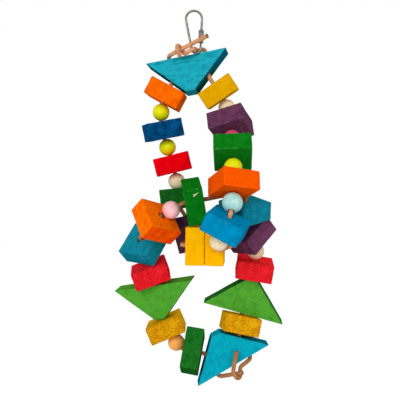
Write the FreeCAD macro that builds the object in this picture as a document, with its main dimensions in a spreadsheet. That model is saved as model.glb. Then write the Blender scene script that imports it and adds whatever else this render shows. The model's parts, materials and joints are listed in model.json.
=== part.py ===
import FreeCAD, Part
import math
import os
import Sketcher

from FreeCAD import Placement, Rotation, Vector

# A hanging chew toy of dyed wood. Two closed leather laces carry blocks, wedges and beads.
# The upper lace runs down from the top wedge and back up to it. The lower lace starts at
# the bottom wedge. Each passes through the other at the waist, so the lower one hangs there.
# Millimetres, +Z up, +Y away from the viewer, origin inside the top bow of the link.

SIZES = [
    ("stock_width", 38.0, "width of the wooden strip, from its 1x2 inch look"),
    ("stock_thickness", 19.0, "thickness of the same strip"),
    ("block_length", 38.0, "how long each ordinary block is cut"),
    ("long_block_length", 43.0, "the cut of the lowest green block"),
    ("wedge_short_side", 12.0, "short side of a wedge, whose ends slope at 45 degrees"),
    ("side_hole", 20.0, "from a wedge's middle to each of its two holes"),
    ("bead_diameter", 18.0, "wooden bead"),
    ("large_bead_diameter", 20.0, "the pale mint bead"),
    ("lace_diameter", 4.4, "leather lace"),
    ("hole_diameter", 6.3, "hole drilled in the wood"),
    ("mouth_chamfer", 0.9, "worn mouth of each hole"),
    ("edge_chamfer", 0.8, "sanded edges of the wood"),
    ("clearance", 0.3, "left between pieces that rest on each other"),
    ("link_inside", 41.3, "inside length of the steel link"),
    ("link_wire", 2.4, "wire of the link"),
    ("link_wide_radius", 8.3, "wire's middle line in the wide top bow"),
    ("link_narrow_radius", 4.6, "the same in the narrow bottom bow"),
    ("nut_length", 13.0, "sleeve nut on the link's right leg"),
    ("nut_across", 5.6, "sleeve nut across its flats"),
    ("nut_bore_gap", 0.08, "radial running clearance of the nut"),
    ("nut_foot", 6.1, "from the closed nut's lower end to the narrow bow"),
    ("link_gap", 1.5, "opening of the link, hidden in the nut"),
    ("link_gap_cover", 2.5, "how far the closed nut reaches below that opening"),
    ("lace_stub", 5.2, "bare lace between the pink bead and the waist's green block"),
    ("link_room", 0.8, "between the link and the top wedge below it"),
    ("waist_room", 4.9, "behind the waist's bead, where the lace turns"),
]
V = {name: value for name, value, note in SIZES}
CLEAR = V["clearance"]
LACE = V["lace_diameter"]
HALF_W = V["stock_width"] / 2.0
HALF_T = V["stock_thickness"] / 2.0
BEAD = V["bead_diameter"] / 2.0
LARGE_BEAD = V["large_bead_diameter"] / 2.0
WEDGE_SHORT = V["wedge_short_side"] / 2.0
WEDGE_TIP = WEDGE_SHORT + V["stock_width"]
HANG_DROP = V["link_inside"] + V["link_wire"] + V["link_room"] + HALF_W
LEAD = 1.0
UP, DOWN = 1.0, -1.0

DOC = FreeCAD.newDocument("chew_toy")
SHEET = DOC.addObject("Spreadsheet::Sheet", "Sizes")
for row, (name, value, note) in enumerate(SIZES, 1):
    SHEET.set("A%d" % row, name)
    SHEET.set("B%d" % row, "%g mm" % value)
    SHEET.setAlias("B%d" % row, name)
    SHEET.set("C%d" % row, note)
DOC.recompute()


def turned(lean, nod, turn):
    """A hanging piece's attitude: turn on the lace, then nod to or from the viewer, then lean."""
    spin = Rotation(Vector(0, 0, 1), turn)
    tip = Rotation(Vector(1, 0, 0), nod)
    return Rotation(Vector(0, 1, 0), lean).multiply(tip).multiply(spin)


def toward(lean, nod, way):
    """Unit direction of a lace that leans and nods like a piece, going up or down it."""
    return turned(lean, nod, 0.0).multVec(Vector(0, 0, way))


def unit(vector):
    """The same direction with length one."""
    return vector * (1.0 / vector.Length)


# Where each piece sits


SLANT = math.sqrt(0.5)
WEDGE_LINE = [(-WEDGE_TIP, HALF_W), (WEDGE_TIP, HALF_W), (WEDGE_SHORT, -HALF_W), (-WEDGE_SHORT, -HALF_W)]


class Piece:
    """A block or a wedge: its corners, its faces and the two mouths of its lace hole."""

    def __init__(self, name, angles, kind="block", length="block_length", hole=0.0):
        self.name = name
        self.kind = kind
        self.length = length
        self.rotation = turned(*angles)
        self.base = Vector(0, 0, 0)
        self.hole = hole
        if kind == "block":
            half = V[length] / 2.0
            plan = [(x, y) for x in (-HALF_W, HALF_W) for y in (-half, half)]
            sizes = [(x, y, z) for x, y in plan for z in (-HALF_T, HALF_T)]
            if length == "long_block_length":
                sizes = [(y, x, z) for x, y, z in sizes]
            self.normals = [Vector(1, 0, 0), Vector(0, 1, 0), Vector(0, 0, 1)]
            self.edges = self.normals
            self.ends = {UP: HALF_T, DOWN: -HALF_T}
        else:
            sizes = [(x, y, z) for x, z in WEDGE_LINE for y in (-HALF_T, HALF_T)]
            slopes = [Vector(SLANT, 0, -SLANT), Vector(SLANT, 0, SLANT)]
            self.normals = [Vector(0, 1, 0), Vector(0, 0, 1)] + slopes
            self.edges = [Vector(1, 0, 0), Vector(0, 1, 0)] + slopes
            bottom = -HALF_W if abs(hole) < WEDGE_SHORT else HALF_W - (WEDGE_TIP - abs(hole))
            self.ends = {UP: HALF_W, DOWN: bottom}
        self.corners = [Vector(*size) for size in sizes]

    def world(self, local):
        """A point of the piece in the toy's frame."""
        return self.rotation.multVec(local) + self.base

    def mouth(self, end, hole=None):
        """Where the lace hole opens at the upper or lower end."""
        shift = self.hole if hole is None else hole
        return self.world(Vector(shift, 0, self.ends[end]))

    def axis(self, end):
        """Direction out of the hole at an end."""
        return self.rotation.multVec(Vector(0, 0, end))

    def outward(self, end):
        """Outward normal of the face that the hole opens in."""
        if self.kind == "wedge" and end == DOWN and abs(self.ends[DOWN] + HALF_W) > 0.01:
            return self.rotation.multVec(Vector(math.copysign(SLANT, self.hole), 0, -SLANT))
        return self.axis(end)

    def put_mouth(self, end, point):
        """Move the piece so that one mouth is at a point."""
        self.base = self.base + point - self.mouth(end)


def parting_axes(still, moving):
    """Directions along which a plane may part two pieces: their face normals and crossed edges."""
    axes = [piece.rotation.multVec(n) for piece in (still, moving) for n in piece.normals]
    for first in still.edges:
        for second in moving.edges:
            cross = still.rotation.multVec(first).cross(moving.rotation.multVec(second))
            if cross.Length > 0.001:
                axes.append(unit(cross))
    return axes


def slide_to_rest(still, moving, direction):
    """Distance a piece must go along a direction to leave the clearance beside another.

    Args:
        still: the piece already placed.
        moving: the piece placed with its mouth on the first one's.
        direction: unit direction that the lace takes between them.

    Returns:
        The least distance at which one plane parts them with the clearance between.
    """
    ahead = [still.world(c) for c in still.corners]
    behind = [moving.world(c) for c in moving.corners]
    least = None
    for axis in parting_axes(still, moving):
        along = axis.dot(direction)
        if abs(along) < 1e-6:
            continue
        if along < 0:
            axis, along = axis * -1.0, -along
        reach = CLEAR + max(p.dot(axis) for p in ahead) - min(p.dot(axis) for p in behind)
        least = reach / along if least is None else min(least, reach / along)
    return max(least, 0.0)


PIECES = {}
BEADS = {}


def keep(piece):
    """Remember a placed piece by its name."""
    PIECES[piece.name] = piece
    return piece


def next_piece_along(point, last, piece, end, direction):
    """Put one mouth of a piece at a point and slide it along a direction to rest against the last."""
    piece.put_mouth(end, point)
    piece.base = piece.base + direction * slide_to_rest(last, piece, direction)
    return keep(piece)


def next_piece(last, piece, way, lace=None):
    """String a piece against the last one, going up or down the lace.

    Args:
        last: the piece that the lace leaves.
        piece: the piece that it enters.
        way: UP or DOWN.
        lace: (lean, nod) of the lace between them, or None to follow the piece's own hole.
    """
    direction = toward(lace[0], lace[1], way) if lace else piece.axis(way)
    return next_piece_along(last.mouth(way), last, piece, -way, direction)


def next_bead(last, name, radius, lace, way):
    """String a bead against the last piece and return its centre and its bore's direction."""
    direction = toward(lace[0], lace[1], way)
    out = last.outward(way)
    rise = (radius + CLEAR - LEAD * last.axis(way).dot(out)) / direction.dot(out)
    centre = last.mouth(way) + last.axis(way) * LEAD + direction * rise
    BEADS[name] = (centre, direction, radius)
    return centre, direction


def after_bead(name, piece, way, bare=0.0):
    """String a piece after a bead, on the line of the bead's bore."""
    centre, direction, radius = BEADS[name]
    rise = (radius + CLEAR + bare - LEAD) / direction.dot(piece.axis(way))
    piece.put_mouth(-way, centre + direction * rise + piece.axis(way) * LEAD)
    return keep(piece)


def from_bottom(wedge, piece):
    """String a piece on a slanted end of the bottom wedge."""
    return next_piece_along(wedge.mouth(DOWN), wedge, piece, DOWN, piece.axis(UP))


def drop_to_rest(still, moving):
    """How far a piece can come straight down before it rests on another."""
    drops = []
    for axis in parting_axes(still, moving):
        if axis.z < 0:
            axis = axis * -1.0
        if axis.z < 1e-6:
            continue
        room = min(moving.world(c).dot(axis) for c in moving.corners)
        room -= max(still.world(c).dot(axis) for c in still.corners) + CLEAR
        drops.append(room / axis.z)
    return max(drops)


# The upper loop, strung down from the top wedge

TOP_LEAN, TOP_NOD, TOP_TURN = -7.5, -8.5, -10.0
top = Piece("top_wedge", (TOP_LEAN, TOP_NOD, TOP_TURN), "wedge", hole=-V["side_hole"])
top.base = Vector(-4.3, 11.0, -HANG_DROP)
keep(top)
top_right = Piece("top_wedge", (TOP_LEAN, TOP_NOD, TOP_TURN), "wedge", hole=V["side_hole"])
top_right.base = top.base

ul_orange = next_piece(top, Piece("ul_orange", (28, 4, -2)), DOWN)
next_bead(ul_orange, "bead_ul_yellow_a", BEAD, (3, 11), DOWN)
ul_navy = after_bead("bead_ul_yellow_a", Piece("ul_navy", (-11, 7, 11)), DOWN)
next_bead(ul_navy, "bead_ul_yellow_b", BEAD, (-21, 11), DOWN)
ul_red = after_bead("bead_ul_yellow_b", Piece("ul_red", (-14, 3, 1)), DOWN)
next_bead(ul_red, "bead_ul_natural", BEAD, (-11, 2), DOWN)
ul_green = after_bead("bead_ul_natural", Piece("ul_green", (-6, -5, -1)), DOWN)

ur_yellow = next_piece(top_right, Piece("ur_yellow", (-34, 4, -8)), DOWN)
next_bead(ur_yellow, "bead_ur_natural", BEAD, (-17, -8), DOWN)
ur_purple = after_bead("bead_ur_natural", Piece("ur_purple", (-6, -26, -20)), DOWN)
next_bead(ur_purple, "bead_ur_pink", BEAD, (0, -44), DOWN)
ur_green = after_bead("bead_ur_pink", Piece("ur_green", (0, -32, -3)), DOWN)
next_bead(ur_green, "bead_ur_yellow", BEAD, (1, -40), DOWN)
ur_orange = after_bead("bead_ur_yellow", Piece("ur_orange", (0, -18, 23)), DOWN)
next_bead(ur_orange, "bead_ur_mint", LARGE_BEAD, (11, -33), DOWN)
ur_blue = after_bead("bead_ur_mint", Piece("ur_blue", (24, 17, -10)), DOWN)
mid_centre, mid_bore = next_bead(ur_blue, "bead_mid_natural", BEAD, (18, 42), DOWN)

# The waist of the upper loop: two yellow blocks side by side and a plum one behind them

mid_yellow_right = Piece("mid_yellow_right", (-89, -4, 180))
mid_yellow_right.base = mid_centre + Vector(-2.8, BEAD + V["waist_room"] + HALF_W, -6.5)
keep(mid_yellow_right)
mid_yellow_left = Piece("mid_yellow_left", (-89, -4, 180))
next_piece(mid_yellow_right, mid_yellow_left, UP)
mid_plum = Piece("mid_plum", (-12, -48, 0))
mid_plum.base = mid_yellow_left.base + Vector(-4.5, 43.0, 10.0)
keep(mid_plum)

# The lower loop, strung up from the bottom wedge, then lowered until it rests at the waist

bottom = Piece("bottom_wedge", (150, -3, -1), "wedge", hole=V["side_hole"])
bottom.base = Vector(32.2, 19.3, -352.8)
keep(bottom)
bottom_right = Piece("bottom_wedge", (150, -3, -1), "wedge", hole=-V["side_hole"])
bottom_right.base = bottom.base

ll_green = from_bottom(bottom, Piece("ll_green", (-81, -5, 205), length="long_block_length"))
next_bead(ll_green, "bead_ll_orange", BEAD, (-45, -13), UP)
ll_yellow = after_bead("bead_ll_orange", Piece("ll_yellow", (-23, 2, -1)), UP, 0.6)
left_wedge = next_piece(ll_yellow, Piece("left_wedge", (-12, 8, -15), "wedge"), UP, (-17, 0))
ll_red = next_piece(left_wedge, Piece("ll_red", (-19, 11, 2)), UP, (-18, 6))
ll_teal = next_piece(ll_red, Piece("ll_teal", (-32, 41, -49)), UP, (2, -12))
ll_orange = next_piece(ll_teal, Piece("ll_orange", (43, 27, 48)), UP, (45, 45))
next_bead(ll_orange, "bead_ll_pink", BEAD, (61, -4), UP)
mid_green = after_bead("bead_ll_pink", Piece("mid_green", (80, -2, 20)), UP, V["lace_stub"])

lr_yellow = from_bottom(bottom_right, Piece("lr_yellow", (12, -6, 4)))
right_wedge = Piece("right_wedge", (195, -7, 2), "wedge")
next_piece_along(lr_yellow.mouth(UP), lr_yellow, right_wedge, UP, toward(19, -2, UP))
lr_red = Piece("lr_red", (9, 9, -2))
next_piece_along(right_wedge.mouth(DOWN), right_wedge, lr_red, DOWN, toward(13, 5, UP))
next_bead(lr_red, "bead_lr_natural", BEAD, (-3, 17), UP)
lr_purple = after_bead("bead_lr_natural", Piece("lr_purple", (-37, 21, -63)), UP)
lr_teal = next_piece(lr_purple, Piece("lr_teal", (0, 19, 39)), UP, (-10, 49))

LOWER = [bottom, ll_green, ll_yellow, left_wedge, ll_red, ll_teal, ll_orange, mid_green,
         lr_yellow, right_wedge, lr_red, lr_purple, lr_teal]
LOWER_BEADS = ["bead_ll_orange", "bead_ll_pink", "bead_lr_natural"]
RAISED = 60.0


def lower_by(height):
    """Move the whole lower loop down."""
    for piece in LOWER:
        piece.base = piece.base - Vector(0, 0, height)
    for name in LOWER_BEADS:
        centre, direction, radius = BEADS[name]
        BEADS[name] = (centre - Vector(0, 0, height), direction, radius)
    bottom_right.base = bottom.base


lower_by(-RAISED)
lower_by(min(drop_to_rest(mid_yellow_left, mid_green), drop_to_rest(mid_yellow_right, mid_green)))

# The lace's route: corners joined by straight runs, each corner rounded by an arc

EASY_BEND = 9.0
TIGHT_BEND = 4.4
MOUTH_BEND = 0.0
MOUTH_PLAY = 0.8
SAME_PLACE = 3.0
IN_LINE = math.radians(1.0)
RUN_SHARE = 0.45


class Route:
    """The middle line of a lace, as corners that are rounded with arcs."""

    def __init__(self):
        self.corners = []

    def to(self, point, bend=EASY_BEND):
        """Add a corner with the largest arc radius that it may take."""
        self.corners.append((point, bend))
        return self

    def between(self, leaving, entering):
        """Add the corners of the lace where it goes from one mouth to the next.

        Args:
            leaving: (mouth, axis out of it) that the lace comes out of.
            entering: (mouth, axis out of it) that it goes into.
        """
        start, out = leaving
        stop, back = entering
        gap = stop - start
        if gap.Length < SAME_PLACE:
            return self.to((start + stop) * 0.5, MOUTH_BEND)
        if gap.getAngle(back) > math.pi - IN_LINE:
            return self.to(start, MOUTH_BEND)
        if gap.getAngle(out) < IN_LINE:
            return self.to(stop, MOUTH_BEND)
        return self.to(start + out * LEAD, MOUTH_BEND).to(stop + back * LEAD, MOUTH_BEND)

    def through(self, pieces, way):
        """String the lace from the first piece's far mouth to the last piece's near mouth."""
        for last, piece in zip(pieces, pieces[1:]):
            flip = getattr(last, "flipped", 1.0)
            turn = getattr(piece, "flipped", 1.0)
            self.between((last.mouth(way * flip), last.axis(way * flip)),
                         (piece.mouth(-way * turn), piece.axis(-way * turn)))
        return self

    def wire(self):
        """The rounded route and its least arc radius."""
        points = [point for point, bend in self.corners]
        edges = []
        at = points[0]
        least = EASY_BEND
        for index in range(1, len(points) - 1):
            before, corner, after = points[index - 1:index + 2]
            come = unit(corner - before)
            go = unit(after - corner)
            half = come.getAngle(go) / 2.0
            room = RUN_SHARE * min((corner - before).Length, (after - corner).Length)
            bend = self.corners[index][1]
            if bend == MOUTH_BEND:
                bend = min(EASY_BEND, max(TIGHT_BEND, MOUTH_PLAY / (1.0 / math.cos(half) - 1.0)))
            radius = min(bend, room / math.tan(half))
            reach = radius * math.tan(half)
            first = corner - come * reach
            last = corner + go * reach
            middle = corner + unit(go - come) * (radius / math.cos(half) - radius)
            edges.append(Part.makeLine(at, first))
            edges.append(Part.Arc(first, middle, last).toShape())
            at = last
            least = min(least, radius)
        edges.append(Part.makeLine(at, points[-1]))
        return Part.Wire(edges), least


def coil(centre, axis, start, turns, side, pitch):
    """Corners of a square coil round a lace, as the knots wrap it.

    Args:
        centre: middle of the coil.
        axis: direction of the wrapped lace.
        start: direction from the middle to the coil's first corner, across the axis.
        turns: quarter turns, each adding a corner, negative for a left-hand way round.
        side: distance from the middle to a corner.
        pitch: advance along the axis per full turn.
    """
    across = unit(start - axis * start.dot(axis))
    points = []
    for quarter in range(abs(turns) + 1):
        arm = Rotation(axis, math.copysign(90.0 * quarter, turns)).multVec(across) * side
        points.append(centre + arm + axis * pitch * (quarter - abs(turns) / 2.0) / 4.0)
    return points


def step(start, direction, distance):
    """A point some way from another in a direction."""
    return start + direction * distance


for wedge in (right_wedge, bottom, bottom_right):
    wedge.flipped = -1.0

# The upper lace starts with the tail of its knot. It goes down the left side, round the
# back of the waist, up the right side and over the link, and ends coiled round its start.

TAIL_TIP = top.base + Vector(19.2, -23.0, HALF_W + 17.0)
TOP_KNOT = top.base + Vector(-10.2, -15.0, HALF_W + 4.0)
KNOT_REACH = 8.5
COIL_SIDE, COIL_PITCH = 6.5, -5.0
TAIL_WAY = unit(TAIL_TIP - TOP_KNOT)
upper = Route().to(TAIL_TIP)
upper.to(step(TOP_KNOT, TAIL_WAY, -KNOT_REACH))
upper.to(step(top.mouth(UP), top.axis(UP), 6.0), TIGHT_BEND)
upper.through([top, ul_orange, ul_navy, ul_red, ul_green], DOWN)
upper.to(step(ul_green.mouth(DOWN), ul_green.axis(DOWN), LEAD))
upper.to(step(mid_plum.mouth(UP), mid_plum.axis(UP), 5.0), TIGHT_BEND)
upper.to(step(mid_plum.mouth(DOWN), mid_plum.axis(DOWN), 4.0))
left_turn = step(mid_yellow_left.mouth(UP), mid_yellow_left.axis(UP), 5.0)
upper.to(left_turn + Vector(0, 20.5, 0))
upper.to(left_turn, TIGHT_BEND)
right_turn = step(mid_yellow_right.mouth(DOWN), mid_yellow_right.axis(DOWN), 6.0)
upper.to(right_turn, TIGHT_BEND)
upper.to(right_turn + Vector(-1.0, -23.5, 1.5), TIGHT_BEND)
upper.to(step(mid_centre, mid_bore, 15.6), TIGHT_BEND)
upper.to(step(ur_blue.mouth(DOWN), ur_blue.axis(DOWN), LEAD))
upper.through([ur_blue, ur_orange, ur_green, ur_purple, ur_yellow, top_right], UP)
upper.to(step(top_right.mouth(UP), top.axis(UP), 7.0), TIGHT_BEND)
upper.to(top.base + Vector(9.9, -2.0, HALF_W + 6.5), TIGHT_BEND)
upper.to(top.base + Vector(4.5, -18.4, HALF_W + 5.2), TIGHT_BEND)
for corner in coil(TOP_KNOT, TAIL_WAY, Vector(0, 0, -1), 5, COIL_SIDE, COIL_PITCH):
    upper.to(corner, TIGHT_BEND)

# The lower lace starts inside its knot, goes up the left side, over the yellow pair, down
# the right side and ends as the tail in front of the bottom wedge.

LOW_KNOT = bottom.base + Vector(14.1, -9.3, -24.5)
low_start = step(bottom.mouth(UP), bottom.axis(UP), 5.0)
LOW_WAY = unit(LOW_KNOT - low_start)
lower = Route().to(step(LOW_KNOT, LOW_WAY, 6.0))
lower.to(low_start, TIGHT_BEND)
lower.through([bottom, ll_green, ll_yellow, left_wedge, ll_red, ll_teal, ll_orange, mid_green], UP)
lower.to(step(mid_green.mouth(UP), mid_green.axis(UP), 6.5))
lower.to(mid_green.mouth(UP) + Vector(19.0, 11.0, 3.8))
lower.to(lr_teal.mouth(UP) + Vector(-5.8, 7.8, 6.9))
lower.to(step(lr_teal.mouth(UP), lr_teal.axis(UP), 4.8) + Vector(0.9, 0.5, 0), TIGHT_BEND)
lower.through([lr_teal, lr_purple, lr_red, right_wedge, lr_yellow, bottom_right], DOWN)
lower.to(step(bottom_right.mouth(UP), bottom.axis(UP), 5.5), TIGHT_BEND)
for corner in coil(LOW_KNOT, LOW_WAY, Vector(0, 1, 1), -3, COIL_SIDE, COIL_PITCH):
    lower.to(corner, TIGHT_BEND)
lower.to(bottom.base + Vector(12.6, -15.3, 0.0))

# Shapes


def add_body(name):
    """A PartDesign body whose label is the piece's name."""
    body = DOC.addObject("PartDesign::Body", name)
    body.Label = name
    return body


def sketch_on(body, plane, name):
    """A sketch on one of the body's own origin planes."""
    sketch = body.newObject("Sketcher::SketchObject", name)
    base = [item for item in body.Origin.OriginFeatures if item.Role == plane][0]
    sketch.AttachmentSupport = (base, [""])
    sketch.MapMode = "FlatFace"
    return sketch


def sized(sketch, constraint, expression):
    """Add a dimension to a sketch and drive it from the sheet."""
    index = sketch.addConstraint(constraint)
    sketch.setExpression("Constraints[%d]" % index, expression)
    return index


def outline(sketch, points):
    """Draw a closed outline of lines through the points."""
    count = len(points)
    for index in range(count):
        start = Vector(*points[index], 0)
        stop = Vector(*points[(index + 1) % count], 0)
        sketch.addGeometry(Part.LineSegment(start, stop), False)
    for index in range(count):
        sketch.addConstraint(Sketcher.Constraint("Coincident", index, 2, (index + 1) % count, 1))


def pad_both_ways(body, sketch, expression):
    """Pad a sketch evenly to both sides, with its length from the sheet."""
    pad = body.newObject("PartDesign::Pad", body.Name + "_pad")
    pad.Profile = sketch
    pad.Midplane = True
    pad.setExpression("Length", expression)
    sketch.Visibility = False
    DOC.recompute()
    return pad


def soften(body, base, wanted, expression, suffix):
    """Chamfer the edges of a feature that pass a test."""
    names = ["Edge%d" % number for number, edge in enumerate(base.Shape.Edges, 1) if wanted(edge)]
    bevel = body.newObject("PartDesign::Chamfer", body.Name + suffix)
    bevel.Base = (base, names)
    bevel.setExpression("Size", expression)
    DOC.recompute()
    return bevel


def drill(body, places):
    """Drill lace holes along Z and ease their mouths; each place is a multiple of side_hole along X."""
    sketch = sketch_on(body, "XY_Plane", body.Name + "_holes")
    for index, side in enumerate(places):
        centre = Vector(side * V["side_hole"], 0, 0)
        sketch.addGeometry(Part.Circle(centre, Vector(0, 0, 1), V["hole_diameter"] / 2.0), False)
        sized(sketch, Sketcher.Constraint("Diameter", index, V["hole_diameter"]), "Sizes.hole_diameter")
        sketch.addConstraint(Sketcher.Constraint("PointOnObject", index, 3, -1))
        if side:
            gap = Sketcher.Constraint("DistanceX", -1, 1, index, 3, side * V["side_hole"])
            sized(sketch, gap, "%g * Sizes.side_hole" % side)
        else:
            sketch.addConstraint(Sketcher.Constraint("PointOnObject", index, 3, -2))
    pocket = body.newObject("PartDesign::Pocket", body.Name + "_drilling")
    pocket.Profile = sketch
    pocket.Midplane = True
    pocket.setExpression("Length", "2 * Sizes.stock_width")
    sketch.Visibility = False
    DOC.recompute()
    closed = [edge for edge in pocket.Shape.Edges if len(edge.Vertexes) == 1]
    return soften(body, pocket, lambda edge: any(edge.isSame(item) for item in closed),
                  "Sizes.mouth_chamfer", "_mouths")


def make_block(piece):
    """A block: a rectangle padded, softened and drilled."""
    body = add_body(piece.name)
    length = V[piece.length]
    along, across = V["stock_width"], length
    names = ["Sizes.stock_width", "Sizes." + piece.length]
    if piece.length == "long_block_length":
        along, across = across, along
        names.reverse()
    sketch = sketch_on(body, "XY_Plane", piece.name + "_plan")
    x, y = along / 2.0, across / 2.0
    outline(sketch, [(-x, -y), (x, -y), (x, y), (-x, y)])
    sketch.addConstraint(Sketcher.Constraint("Horizontal", 0))
    sketch.addConstraint(Sketcher.Constraint("Vertical", 1))
    sketch.addConstraint(Sketcher.Constraint("Symmetric", 0, 1, 2, 1, -1, 1))
    sketch.addConstraint(Sketcher.Constraint("Horizontal", 2))
    sketch.addConstraint(Sketcher.Constraint("Vertical", 3))
    sized(sketch, Sketcher.Constraint("DistanceX", 0, 1, 0, 2, along), names[0])
    sized(sketch, Sketcher.Constraint("DistanceY", 1, 1, 1, 2, across), names[1])
    pad = pad_both_ways(body, sketch, "Sizes.stock_thickness")
    soften(body, pad, lambda edge: True, "Sizes.edge_chamfer", "_edges")
    drill(body, [0.0])
    body.Placement = Placement(piece.base, piece.rotation)
    return body


def make_wedge(piece, places):
    """A wedge: the same strip cut at 45 degrees at both ends, softened and drilled."""
    body = add_body(piece.name)
    sketch = sketch_on(body, "XZ_Plane", piece.name + "_side")
    outline(sketch, WEDGE_LINE)
    sketch.addConstraint(Sketcher.Constraint("Symmetric", 0, 1, 0, 2, -2))
    sketch.addConstraint(Sketcher.Constraint("Symmetric", 2, 1, 2, 2, -2))
    sized(sketch, Sketcher.Constraint("DistanceX", 0, 1, 0, 2, 2.0 * WEDGE_TIP),
          "Sizes.wedge_short_side + 2 * Sizes.stock_width")
    sized(sketch, Sketcher.Constraint("DistanceX", 2, 2, 2, 1, 2.0 * WEDGE_SHORT), "Sizes.wedge_short_side")
    sized(sketch, Sketcher.Constraint("DistanceY", -1, 1, 0, 1, HALF_W), "Sizes.stock_width / 2")
    sized(sketch, Sketcher.Constraint("DistanceY", 2, 1, -1, 1, HALF_W), "Sizes.stock_width / 2")
    pad = pad_both_ways(body, sketch, "Sizes.stock_thickness")
    soften(body, pad, lambda edge: True, "Sizes.edge_chamfer", "_edges")
    drill(body, places)
    body.Placement = Placement(piece.base, piece.rotation)
    return body


def make_bead(name, centre, direction, size):
    """A bead: a half disc less its bore, revolved."""
    body = add_body(name)
    sketch = sketch_on(body, "XZ_Plane", name + "_half")
    radius, bore = V[size] / 2.0, V["hole_diameter"] / 2.0
    tall = math.sqrt(radius * radius - bore * bore)
    lift = math.atan2(tall, bore)
    ring = Part.Circle(Vector(0, 0, 0), Vector(0, 0, 1), radius)
    sketch.addGeometry(Part.ArcOfCircle(ring, -lift, lift), False)
    sketch.addGeometry(Part.LineSegment(Vector(bore, tall, 0), Vector(bore, -tall, 0)), False)
    sketch.addConstraint(Sketcher.Constraint("Coincident", 0, 3, -1, 1))
    sketch.addConstraint(Sketcher.Constraint("Coincident", 0, 2, 1, 1))
    sketch.addConstraint(Sketcher.Constraint("Coincident", 1, 2, 0, 1))
    sketch.addConstraint(Sketcher.Constraint("Vertical", 1))
    sized(sketch, Sketcher.Constraint("Radius", 0, radius), "Sizes.%s / 2" % size)
    sized(sketch, Sketcher.Constraint("DistanceX", -1, 1, 1, 1, bore), "Sizes.hole_diameter / 2")
    turning = body.newObject("PartDesign::Revolution", name + "_turning")
    turning.Profile = sketch
    turning.ReferenceAxis = (sketch, ["V_Axis"])
    turning.Angle = 360.0
    sketch.Visibility = False
    DOC.recompute()
    soften(body, turning, lambda edge: len(edge.Vertexes) == 1 and hasattr(edge.Curve, "Radius")
           and abs(edge.Curve.Radius - bore) < 0.01, "Sizes.clearance", "_mouths")
    body.Placement = Placement(centre, Rotation(Vector(0, 0, 1), direction))
    return body


def make_swept(name, wire, expression):
    """A round section from the sheet, swept along a route."""
    path = DOC.addObject("Part::Feature", name + "_path")
    path.Shape = wire
    first = wire.OrderedEdges[0]
    start = first.valueAt(first.FirstParameter)
    heading = first.tangentAt(first.FirstParameter)
    section = DOC.addObject("Part::Circle", name + "_section")
    section.setExpression("Radius", expression)
    section.Placement = Placement(start, Rotation(Vector(0, 0, 1), heading))
    sweep = DOC.addObject("Part::Sweep", name)
    sweep.Label = name
    sweep.Sections = [section]
    sweep.Spine = (path, ["Edge%d" % (index + 1) for index in range(len(wire.Edges))])
    sweep.Solid = True
    sweep.Frenet = False
    DOC.recompute()
    return sweep


MADE = []
for piece in PIECES.values():
    if piece.kind == "block":
        MADE.append(make_block(piece))
    else:
        MADE.append(make_wedge(piece, [-1.0, 1.0] if piece.hole else [0.0]))
for name, (centre, direction, radius) in BEADS.items():
    size = "large_bead_diameter" if radius > BEAD else "bead_diameter"
    MADE.append(make_bead(name, centre, direction, size))
for name, route in (("upper_lace", upper), ("lower_lace", lower)):
    wire, least = route.wire()
    print("%s: radius %g mm, length %.0f mm, least bend %.2f mm" % (name, LACE / 2.0, wire.Length, least))
    MADE.append(make_swept(name, wire, "Sizes.lace_diameter / 2"))

# The steel link: a pear of wire, open inside its nut

LINK_LEAN = -4.0
WIRE = V["link_wire"]
WIDE, NARROW = V["link_wide_radius"], V["link_narrow_radius"]
wide_centre = Vector(0, 0, -(WIDE - WIRE / 2.0))
narrow_centre = Vector(0, 0, -(V["link_inside"] - NARROW + WIRE / 2.0))
SLOPE = math.asin((WIDE - NARROW) / (wide_centre - narrow_centre).Length)
right = Vector(math.cos(SLOPE), 0, -math.sin(SLOPE))
left = Vector(-math.cos(SLOPE), 0, -math.sin(SLOPE))
leg_top = wide_centre + right * WIDE
leg_way = unit(narrow_centre + right * NARROW - leg_top)
leg_length = (narrow_centre + right * NARROW - leg_top).Length
NUT_START = leg_length - V["nut_foot"] - V["nut_length"]
GAP_END = NUT_START + V["nut_length"] - V["link_gap_cover"]
GAP_START = GAP_END - V["link_gap"]
link_edges = [
    Part.makeLine(leg_top + leg_way * GAP_START, leg_top),
    Part.Arc(leg_top, wide_centre + Vector(0, 0, WIDE), wide_centre + left * WIDE).toShape(),
    Part.makeLine(wide_centre + left * WIDE, narrow_centre + left * NARROW),
    Part.Arc(narrow_centre + left * NARROW, narrow_centre - Vector(0, 0, NARROW),
             narrow_centre + right * NARROW).toShape(),
    Part.makeLine(narrow_centre + right * NARROW, leg_top + leg_way * GAP_END),
]
link_turn = Placement(Vector(0, 0, 0), Rotation(Vector(0, 1, 0), LINK_LEAN))
link_wire = Part.Wire(link_edges)
link_wire.Placement = link_turn
MADE.append(make_swept("pear_link", link_wire, "Sizes.link_wire / 2"))

nut_hex = DOC.addObject("Part::Prism", "nut_hex")
nut_hex.Polygon = 6
nut_hex.setExpression("Circumradius", "Sizes.nut_across / (2 * cos(30 deg))")
nut_hex.setExpression("Height", "Sizes.nut_length")
nut_bore = DOC.addObject("Part::Cylinder", "nut_bore")
nut_bore.setExpression("Radius", "Sizes.link_wire / 2 + Sizes.nut_bore_gap")
nut_bore.setExpression("Height", "Sizes.nut_length")
nut = DOC.addObject("Part::Cut", "sleeve_nut")
nut.Label = "sleeve_nut"
nut.Base = nut_hex
nut.Tool = nut_bore
nut_seat = link_turn.multVec(leg_top + leg_way * NUT_START)
nut_way = link_turn.Rotation.multVec(leg_way)
nut.Placement = Placement(nut_seat, Rotation(Vector(0, 0, 1), nut_way))
MADE.append(nut)
DOC.recompute()

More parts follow.
